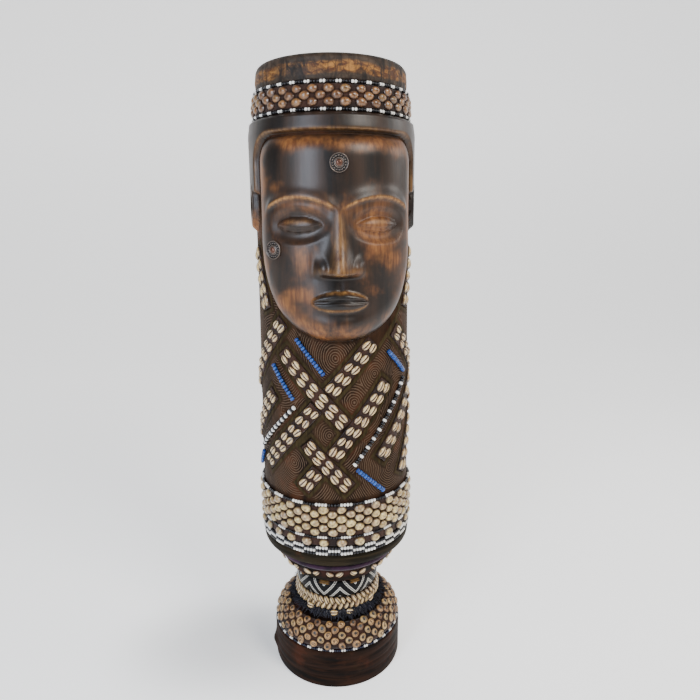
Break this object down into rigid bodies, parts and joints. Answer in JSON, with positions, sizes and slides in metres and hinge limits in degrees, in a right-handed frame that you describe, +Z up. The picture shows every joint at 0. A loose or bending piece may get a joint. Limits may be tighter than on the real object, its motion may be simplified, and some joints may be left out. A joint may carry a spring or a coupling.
{
  "type": "ceremonial ritual drum",
  "caption": "Tall footed drum of carved dark wood with a calm face on its front, a rawhide drumhead, and bands and strips of cowrie shells and glass beads.",
  "frame": {"origin": "centre of the foot's flat underside", "axes": "+Z up along the drum's axis, the face looks towards -Y"},
  "size_m": [0.3004, 0.3399, 1.1578],
  "materials": {
    "carved_wood": "polished, dark, worn",
    "rawhide": "dry, crackled",
    "pale_cowries": "glossy shells on dark cloth",
    "brown_cowries": "glossy shells on red-brown cloth",
    "black_white_beads": "opaque glass beads, glossy",
    "blue_beads": "opaque glass beads, satin",
    "dark_fibre": "matt, shaggy",
    "purple_cloth": "matt",
    "worn_metal": "tarnished"
  },
  "bodies": {
    "root": {"drum_body": "carved_wood", "drumhead_skin": "rawhide", "headband": "brown_cowries", "headband_upper_string": "black_white_beads", "headband_lower_string": "black_white_beads", "forehead_stud": "worn_metal", "cheek_stud": "worn_metal", "chest_strip_low": "pale_cowries", "chest_strip_right": "pale_cowries", "chest_strip_left": "pale_cowries", "chest_strip_long_1": "pale_cowries", "chest_strip_long_2": "pale_cowries", "chest_strip_foot": "pale_cowries", "jaw_strip_left": "pale_cowries", "jaw_strip_right": "pale_cowries", "shoulder_strip_left": "pale_cowries", "shoulder_strip_right": "pale_cowries", "side_strip_left": "pale_cowries", "side_strip_right": "pale_cowries", "hip_strip_right": "pale_cowries", "back_strip_rising": "pale_cowries", "back_strip_falling_1": "pale_cowries", "back_strip_falling_2": "pale_cowries", "blue_bar_throat": "blue_beads", "blue_bar_left": "blue_beads", "blue_bar_right": "blue_beads", "blue_bar_foot": "blue_beads", "blue_bar_hip": "blue_beads", "bead_row_left": "black_white_beads", "bead_row_right": "black_white_beads", "belt": "pale_cowries", "belt_upper_string": "black_white_beads", "belt_lower_strings": "black_white_beads", "bowl_cloth_ring": "purple_cloth", "neck_beaded_roll": "black_white_beads", "neck_cowrie_string": "pale_cowries", "neck_fibre_skirt": "dark_fibre", "foot_cover": "brown_cowries", "foot_rim_string": "black_white_beads"}
  },
  "joints": []
}
